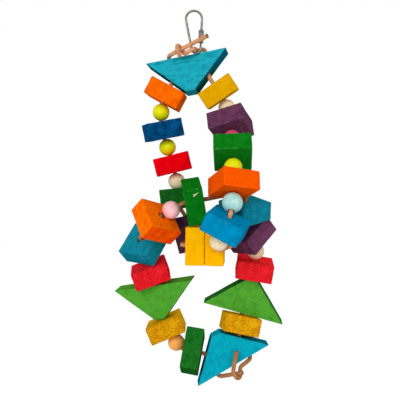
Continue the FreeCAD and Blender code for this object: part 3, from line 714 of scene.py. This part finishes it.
@dataclass
class WoodShop(Bench):
    """The blocks and wedges, cut, eased, drilled and sanded by hand."""

    mouth: float = 0.9 * MM
    round_over: float = 1.0 * MM
    edge_steps: int = 3
    edge_angle: float = 30.0
    rows: int = 9
    bit_sides: int = 28
    sanding: float = 0.5 * MM
    sanding_scale: float = 11.0 * MM
    sanding_middle: float = 0.6
    smooth_below: float = 38.0
    gloss: float = 0.0
    relief: float = 0.16 * MM
    fibre: float = 0.5 * MM
    fibre_sides: int = 8
    fibre_taper: float = 0.4

    def __post_init__(self) -> None:
        """Make the texture that the hand sanding follows."""
        self.sandpaper = bpy.data.textures.new("hand_sanding", "CLOUDS")
        self.sandpaper.noise_scale = self.sanding_scale

    def drill_bit(self, top: float, both_ends: bool) -> bpy.types.Object:
        """A drill with a countersink at the face that it enters, and at the other if asked.

        Args:
            top: half the thickness that it goes through.
            both_ends: whether the far mouth is eased too.

        Returns:
            The drill's shape about the origin.
        """
        straight = top - self.mouth
        bit = new_shape(bpy.ops.mesh.primitive_cylinder_add, vertices=self.bit_sides, radius=HOLE_RADIUS,
                        depth=2.0 * straight)
        rise = 2.0 * self.mouth
        flare = (HOLE_RADIUS + rise) / HOLE_RADIUS
        for end in (1.0, -1.0):
            with editing(bit, lambda at: at.z * end > 0.0):
                bpy.ops.mesh.extrude_region_move(TRANSFORM_OT_translate={"value": (0.0, 0.0, end * rise)})
                if end > 0.0 or both_ends:
                    middle = (0.0, 0.0, end * (straight + rise))
                    bpy.ops.transform.resize(value=(flare, flare, 1.0), center_override=middle)
                else:
                    bpy.ops.transform.translate(value=(0.0, 0.0, -top))
        return bit

    def saw(self, half: Vector, cut: Cut) -> bpy.types.Object:
        """Cut, ease and drill one shape about the origin.

        Args:
            half: half its size, grain along X.
            cut: how its ends and holes are made.

        Returns:
            The finished shape.
        """
        wood = new_shape(bpy.ops.mesh.primitive_cube_add, size=2.0)
        with editing(wood):
            bpy.ops.transform.resize(value=half)
        for side in (1.0, -1.0):
            with editing(wood, lambda at: at.z < 0.0 and at.x * side > 0.0):
                bpy.ops.transform.translate(value=(-side * cut.slope * 2.0 * half.z, 0.0, 0.0))
        with editing(wood):
            bpy.ops.mesh.subdivide(number_cuts=self.rows)
        apply(wood, "BEVEL", width=self.round_over, segments=self.edge_steps, limit_method="ANGLE",
              angle_limit=math.radians(self.edge_angle))
        for hole in cut.holes:
            bit = self.drill_bit(half.z, both_ends=cut.slope == 0.0)
            bit.location.x = hole
            bpy.context.view_layer.update()
            apply(wood, "BOOLEAN", operation="DIFFERENCE", object=bit, solver="EXACT")
            bpy.data.objects.remove(bit)
        return wood

    def make(self, timber: Timber) -> bpy.types.Object:
        """Make and dress one piece.

        Args:
            timber: what the piece is.

        Returns:
            The finished piece.
        """
        centre, half = timber.measure()
        key = (timber.cut, round(half.x, METRE_DIGITS))
        if key not in self.masters:
            self.masters[key] = self.saw(half, timber.cut)
        wood = place_copy(self.masters[key], timber.node + "_wood", timber.turn, centre)
        apply(wood, "DISPLACE", texture=self.sandpaper, texture_coords="LOCAL", strength=self.sanding,
              mid_level=self.sanding_middle)
        smooth(wood, self.smooth_below)
        apply(wood, "WEIGHTED_NORMAL", keep_sharp=True)
        inputs = {"Face Dye": timber.dye.face, "Soaked Dye": timber.dye.soaked, "Half Size": half / MM,
                  "Slant": timber.cut.slope, "Hole": abs(timber.cut.holes[0]) / MM, "Grain": timber.grain,
                  "Mottle": timber.mottle, "Soak": timber.soak, "Speckle": timber.speckle, "Wear": timber.wear}
        material = self.shelf.finish(timber.node + "_dyed", self.shelf.wood, inputs,
                                     {"Specular IOR Level": self.gloss}, self.relief, timber.turn, centre)
        adopt(wood, timber.node, material)
        return wood

    def tear(self, timber: Timber) -> bpy.types.Object:
        """The torn fibres of the nick, which show bare wood.

        Args:
            timber: the block they stand on.

        Returns:
            The fibres, which ride with the block.
        """
        centre = timber.measure()[0]
        fibres = []
        for start, stop in NICK:
            fibre = new_shape(bpy.ops.mesh.primitive_cone_add, vertices=self.fibre_sides, radius1=self.fibre,
                              radius2=self.fibre_taper * self.fibre, depth=(stop - start).length)
            fibre.rotation_euler = (stop - start).to_track_quat("Z", "Y").to_euler()
            fibre.location = (start + stop) / 2.0
            settle(fibre)
            fibres.append(fibre)
        only(*fibres)
        bpy.ops.object.join()
        pale = place_copy(fibres[0], timber.node + "_nick", timber.turn, centre)
        bpy.data.objects.remove(fibres[0])
        material = self.shelf.painted("torn_fibre", BARE, self.gloss, self.relief, timber.turn, centre)
        adopt(pale, timber.node, material, stands_for_it=False)
        return pale


# Beads

BEADS = {
    "bead_ul_yellow_a": LEMON, "bead_ul_yellow_b": LEMON, "bead_ul_natural": BARE, "bead_ur_natural": BARE,
    "bead_ur_pink": MAGENTA, "bead_ur_yellow": LEMON, "bead_ur_mint": MINT, "bead_mid_natural": BARE,
    "bead_ll_orange": PEACH, "bead_ll_pink": PINK, "bead_lr_natural": BARE,
}


@dataclass
class BeadTurner(Bench):
    """Turned and painted beads."""

    rim: float = 0.35 * MM
    rim_steps: int = 3
    slack: float = 0.01 * MM
    segments: int = 56
    rings: int = 36
    smooth_below: float = 40.0
    gloss: float = 0.1
    relief: float = 0.03 * MM

    def turn_bead(self, radius: float) -> bpy.types.Object:
        """A ball cut off at both mouths and bored along X.

        Args:
            radius: the ball's radius.

        Returns:
            The bead's shape about the origin.
        """
        bead = new_shape(bpy.ops.mesh.primitive_uv_sphere_add, segments=self.segments, ring_count=self.rings,
                         radius=radius)
        mouth = math.sqrt(radius ** 2 - HOLE_RADIUS ** 2)
        for end in (1.0, -1.0):
            with editing(bead):
                bpy.ops.mesh.bisect(plane_co=(0.0, 0.0, end * mouth), plane_no=(0.0, 0.0, end), clear_outer=True)
        with editing(bead, lambda at: abs(at.z) > mouth - self.slack):
            bpy.ops.mesh.bridge_edge_loops()
        with editing(bead, lambda at: abs(at.z) > mouth - self.slack):
            bpy.ops.mesh.bevel(offset=self.rim, segments=self.rim_steps, affect="EDGES")
            bpy.ops.mesh.select_all(action="SELECT")
            bpy.ops.mesh.normals_make_consistent(inside=False)
            bpy.ops.transform.rotate(value=math.radians(90), orient_axis="Y", center_override=ORIGIN)
        smooth(bead, self.smooth_below)
        return bead

    def make(self, node: str, paint: Paint) -> bpy.types.Object:
        """Make and dress one bead.

        Args:
            node: the bead's node.
            paint: its finish.

        Returns:
            The finished bead.
        """
        low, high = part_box(node)
        centre = (low + high) / 2.0
        radius = round(max(high - low) / 2.0, METRE_DIGITS)
        if radius not in self.masters:
            self.masters[radius] = self.turn_bead(radius)
        spin = next(joint for joint in frame["joints"] if joint["child"] == BODY_OF[node])
        turn = Vector((1.0, 0.0, 0.0)).rotation_difference(Vector(spin["axis"])).to_matrix()
        bead = place_copy(self.masters[radius], node + "_turned", turn, centre)
        material = self.shelf.painted(node + "_coat", paint, self.gloss, self.relief, turn, centre)
        adopt(bead, node, material)
        return bead


# Laces and hardware


@dataclass
class LinkSmith:
    """The bent wire link with its cut threads, and the sleeve nut that closes it."""

    shelf: PaintShelf
    wire: float = 2.4 * MM
    inside: float = 41.3 * MM
    wide: float = 8.3 * MM
    narrow: float = 4.6 * MM
    lean: float = -4.0
    gap: float = 1.5 * MM
    gap_cover: float = 2.5 * MM
    nut_foot: float = 6.1 * MM
    nut_length: float = 13.0 * MM
    nut_across: float = 5.6 * MM
    nut_play: float = 0.08 * MM
    nut_chamfer: float = 0.7 * MM
    nut_sides: int = 6
    blank_sides: int = 48
    blank_edge_angle: float = 60.0
    bore_sides: int = 32
    thread_depth: float = 0.2 * MM
    thread_steps: int = 20
    pitch: float = 0.7 * MM
    thread_above: float = 6.3 * MM
    thread_below: float = 2.45 * MM
    bow_steps: int = 40
    wire_steps: int = 8
    smooth_wire: float = 45.0
    smooth_nut: float = 30.0
    relief: float = 0.004 * MM

    def arc(self, centre: Vector, radius: float, start: float, stop: float) -> list[Vector]:
        """Points along an arc in the link's plane.

        Args:
            centre: the arc's centre.
            radius: its radius.
            start: first angle from +X towards +Z, in radians.
            stop: last angle.

        Returns:
            The points.
        """
        turns = [start + (stop - start) * step / self.bow_steps for step in range(self.bow_steps + 1)]
        return [centre + Vector((math.cos(turn), 0.0, math.sin(turn))) * radius for turn in turns]

    def bows(self) -> tuple[list[Vector], list[Vector]]:
        """The middle line of the wire where it is bent, in the link's upright plane.

        Returns:
            The wide bow over the top and the narrow bow at the foot. The straight leg that carries the nut runs
            from the first point of the one to the last point of the other.
        """
        top = Vector((0.0, 0.0, self.wire / 2.0 - self.wide))
        foot = Vector((0.0, 0.0, self.narrow - self.inside - self.wire / 2.0))
        slope = math.asin((self.wide - self.narrow) / (top - foot).length)
        over = self.arc(top, self.wide, -slope, math.pi + slope)
        under = self.arc(foot, self.narrow, math.pi + slope, 2.0 * math.pi - slope)
        return over, under

    def route(self) -> list[Vector]:
        """The middle line of the whole wire, from one side of its gap round to the other.

        Returns:
            The points. The first two and the last two are the ends of the threads.
        """
        over, under = self.bows()
        way = (under[-1] - over[0]).normalized()
        gap_end = under[-1] - way * (self.nut_foot + self.gap_cover)
        gap_start = gap_end - way * self.gap
        return [gap_start, gap_start - way * self.thread_above, *over, *under,
                gap_end + way * self.thread_below, gap_end]

    def bend_wire(self) -> bpy.types.Object:
        """Bend the wire, turned down where its threads are cut.

        Returns:
            The wire as a mesh in the link's upright plane.
        """
        points = self.route()
        root = 1.0 - 2.0 * self.thread_depth / self.wire
        steps = [(points[0], root), (points[1], root), (points[1], 1.0)]
        steps += [(point, 1.0) for point in points[2:-1]]
        steps += [(points[-2], root), (points[-1], root)]
        line = bpy.data.curves.new("pear_link_wire", "CURVE")
        line.dimensions = "3D"
        line.bevel_depth = self.wire / 2.0
        line.bevel_resolution = self.wire_steps
        line.use_fill_caps = True
        spline = line.splines.new("POLY")
        spline.points.add(len(steps) - 1)
        for spot, (point, size) in zip(spline.points, steps):
            spot.co = (*point, 1.0)
            spot.radius = size
        wire = bpy.data.objects.new("pear_link_wire", line)
        bpy.context.scene.collection.objects.link(wire)
        only(wire)
        bpy.ops.object.convert(target="MESH")
        return bpy.context.object

    def cut_thread(self, start: Vector, stop: Vector) -> bpy.types.Object:
        """Cut a thread on a straight stretch of the wire.

        Args:
            start: where it begins.
            stop: where it ends.

        Returns:
            The thread's mesh, in place.
        """
        way = stop - start
        thread = new_shape(bpy.ops.mesh.primitive_plane_add, size=1.0)
        root = self.wire / 2.0 - self.thread_depth
        with editing(thread):
            bpy.ops.mesh.merge(type="CENTER")
            bpy.ops.transform.translate(value=(root, 0.0, 0.0))
            for reach in (self.thread_depth, -self.thread_depth):
                bpy.ops.mesh.extrude_region_move(TRANSFORM_OT_translate={"value": (reach, 0.0, self.pitch / 2.0)})
        apply(thread, "SCREW", axis="Z", angle=math.tau, screw_offset=self.pitch, use_merge_vertices=True,
              iterations=int(way.length / self.pitch), steps=self.thread_steps, render_steps=self.thread_steps)
        thread.rotation_euler = way.to_track_quat("Z", "Y").to_euler()
        thread.location = start
        settle(thread)
        return thread

    def make_link(self, material: bpy.types.Material) -> None:
        """Bend and thread the link, lean it as it hangs, and dress it.

        Args:
            material: the plated steel.
        """
        points = self.route()
        wire = self.bend_wire()
        threads = [self.cut_thread(points[0], points[1]), self.cut_thread(points[-1], points[-2])]
        only(wire, *threads)
        bpy.ops.object.join()
        wire.rotation_euler = (0.0, math.radians(self.lean), 0.0)
        settle(wire)
        smooth(wire, self.smooth_wire)
        adopt(wire, "pear_link", material)

    def turning_blank(self, corner: float) -> bpy.types.Object:
        """A round bar chamfered at both ends, to cut the nut's corners with.

        Args:
            corner: the hexagon's radius at its corners.

        Returns:
            The bar's shape about the origin.
        """
        bar = new_shape(bpy.ops.mesh.primitive_cylinder_add, vertices=self.blank_sides, radius=corner,
                        depth=self.nut_length)
        apply(bar, "BEVEL", width=self.nut_chamfer, segments=1, limit_method="ANGLE",
              angle_limit=math.radians(self.blank_edge_angle))
        return bar

    def nut_bore(self) -> bpy.types.Object:
        """A round bar of the nut's bore."""
        return new_shape(bpy.ops.mesh.primitive_cylinder_add, vertices=self.bore_sides,
                         radius=self.wire / 2.0 + self.nut_play, depth=2.0 * self.nut_length)

    def make_nut(self, material: bpy.types.Material) -> None:
        """Cut the hexagon of the sleeve nut, chamfer its ends, bore it, and dress it.

        Args:
            material: the plated steel.
        """
        over, under = self.bows()
        low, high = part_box("sleeve_nut")
        half_side = math.pi / self.nut_sides
        corner = self.nut_across / (2.0 * math.cos(half_side))
        nut = new_shape(bpy.ops.mesh.primitive_cylinder_add, vertices=self.nut_sides, radius=corner,
                        depth=self.nut_length)
        nut.name = "sleeve_nut_hexagon"
        bpy.ops.transform.rotate(value=half_side, orient_axis="Z")
        settle(nut)
        for operation, tool in (("INTERSECT", self.turning_blank(corner)), ("DIFFERENCE", self.nut_bore())):
            apply(nut, "BOOLEAN", operation=operation, object=tool, solver="EXACT")
            bpy.data.objects.remove(tool)
        way = Matrix.Rotation(math.radians(self.lean), 3, "Y") @ (over[0] - under[-1])
        nut.rotation_euler = way.to_track_quat("Z", "Y").to_euler()
        nut.location = (low + high) / 2.0
        settle(nut)
        smooth(nut, self.smooth_nut)
        adopt(nut, "sleeve_nut", material)

    def make(self) -> None:
        """Make the link and its nut."""
        metal = {"Metallic": 1.0}
        self.make_link(self.shelf.finish("link_plate", self.shelf.zinc, {}, metal, self.relief))
        self.make_nut(self.shelf.finish("nut_plate", self.shelf.zinc, {}, metal, self.relief))


@dataclass
class Haberdashery:
    """The two leather laces."""

    shelf: PaintShelf
    thickness: float = 4.4 * MM
    gloss: float = 0.05
    relief: float = 0.05 * MM

    def tip(self, node: str, way: Vector) -> Vector:
        """The middle of a lace's cut end.

        Args:
            node: the lace's node.
            way: the direction in which that end reaches farthest.

        Returns:
            A point on the lace's middle line, close to the cut.
        """
        points = [vertex.co.copy() for vertex in frame["nodes"][node].data.vertices]
        outermost = max(points, key=way.dot)
        near = [point for point in points if (point - outermost).length < self.thickness]
        return sum(near, Vector()) / len(near)

    def lace(self, node: str, leather: Leather, way: Vector) -> None:
        """Dress one lace.

        Args:
            node: the lace's node.
            leather: its finish.
            way: the direction in which its visible cut end reaches farthest.
        """
        inputs = {"Skin": leather.skin, "Crease": leather.crease, "Cut End": self.tip(node, way)}
        material = self.shelf.finish(node + "_leather", self.shelf.leather, inputs,
                                     {"Specular IOR Level": self.gloss}, self.relief)
        item = frame["nodes"][node]
        if not item.material_slots:
            item.data.materials.append(material)
        for slot in item.material_slots:
            slot.material = material
        LOG.info("%s is dressed", node)

    def make(self) -> None:
        """Dress the laces."""
        self.lace("upper_lace", TAN, Vector((0.0, 0.0, 1.0)))
        self.lace("lower_lace", RUSSET, Vector((0.0, -1.0, 0.0)))


# Studio


@dataclass(frozen=True)
class Lamp:
    """A soft square lamp: its name, its place in metres and its power."""

    name: str
    place: tuple[float, float, float]
    watts: float
    size: float = 0.8


LAMPS = (
    Lamp("key_lamp", (-0.4, -1.3, 0.2), 11.2),
    Lamp("right_lamp", (1.0, -0.9, 0.0), 3.0),
    Lamp("back_lamp", (0.3, 1.1, 1.0), 9.0),
)


@dataclass
class Studio:
    """The camera at the photograph's place, soft lamps and a pale floor."""

    camera_place: Vector = field(default_factory=lambda: Vector((6.717, -620.0, -194.27)) * MM)
    camera_tilt: float = 90.0
    lens: float = 54.0
    target: Vector = field(default_factory=lambda: Vector((8.0, 0.0, -190.0)) * MM)
    floor_drop: float = 0.8
    floor_size: float = 12.0
    floor_colour: Colour = (0.9, 0.9, 0.9, 1.0)
    floor_glow: float = 1.07
    floor_glow_share: float = 0.9
    fill: float = 0.45

    def hang(self, lamp: Lamp) -> None:
        """Hang a lamp so that it faces the toy.

        Args:
            lamp: what the lamp is.
        """
        data = bpy.data.lights.new(lamp.name, "AREA")
        data.energy = lamp.watts
        data.size = lamp.size
        item = bpy.data.objects.new(lamp.name, data)
        bpy.context.scene.collection.objects.link(item)
        item.location = lamp.place
        item.rotation_euler = (self.target - item.location).to_track_quat("-Z", "Y").to_euler()

    def seen(self, w: Wiring) -> bpy.types.NodeSocket:
        """Tell what is looked at from what only gives light.

        Args:
            w: the wiring of a material or the world.

        Returns:
            One where a ray comes from the camera, a gloss or a clear piece.
        """
        path = w.node("ShaderNodeLightPath").outputs
        seen = w.math("MAXIMUM", path["Is Camera Ray"], path["Is Glossy Ray"])
        return w.math("MAXIMUM", seen, path["Is Transmission Ray"])

    def world(self) -> None:
        """White where it is seen, and a soft grey fill for the toy."""
        world = bpy.data.worlds.new("pale_room")
        bpy.context.scene.world = world
        w = Wiring.afresh(world)
        soft = w.node("ShaderNodeBackground", {"Color": WHITE, "Strength": self.fill})
        white = w.node("ShaderNodeBackground", {"Color": WHITE, "Strength": 1.0})
        both = w.node("ShaderNodeMixShader", {0: self.seen(w), 1: soft.outputs[0], 2: white.outputs[0]})
        w.node("ShaderNodeOutputWorld", {"Surface": both.outputs[0]})

    def floor(self) -> None:
        """A pale floor well below the toy, which keeps a faint shadow."""
        floor = new_shape(bpy.ops.mesh.primitive_plane_add, size=self.floor_size,
                          location=(0.0, 0.0, -self.floor_drop))
        floor.name = "studio_floor"
        material = bpy.data.materials.new("pale_floor")
        w = Wiring.afresh(material)
        matte = w.node("ShaderNodeBsdfDiffuse", {"Color": self.floor_colour})
        glow = w.node("ShaderNodeEmission", {"Color": WHITE, "Strength": self.floor_glow})
        share = w.math("MULTIPLY", self.seen(w), self.floor_glow_share)
        both = w.node("ShaderNodeMixShader", {0: share, 1: matte.outputs[0], 2: glow.outputs[0]})
        w.node("ShaderNodeOutputMaterial", {"Surface": both.outputs[0]})
        floor.data.materials.append(material)

    def make(self) -> None:
        """Set up the camera, the lamps, the world and the floor."""
        data = bpy.data.cameras.new("photo_camera")
        data.lens = self.lens
        camera = bpy.data.objects.new("photo_camera", data)
        bpy.context.scene.collection.objects.link(camera)
        camera.location = self.camera_place
        camera.rotation_euler = (math.radians(self.camera_tilt), 0.0, 0.0)
        bpy.context.scene.camera = camera
        for lamp in LAMPS:
            self.hang(lamp)
        self.world()
        self.floor()
        bpy.context.scene.view_settings.view_transform = "Standard"
        LOG.info("studio is set")


def main() -> None:
    """Build and dress every piece in order."""
    logging.basicConfig(level=logging.INFO, format="%(name)s: %(message)s")
    Studio().make()
    shelf = PaintShelf()
    shop = WoodShop(shelf)
    for timber in TIMBER:
        shop.make(timber)
        if timber.node == NICKED:
            shop.tear(timber)
    shop.clear()
    turner = BeadTurner(shelf)
    for node, paint in BEADS.items():
        turner.make(node, paint)
    turner.clear()
    Haberdashery(shelf).make()
    LinkSmith(shelf).make()


if __name__ == "__main__":
    main()
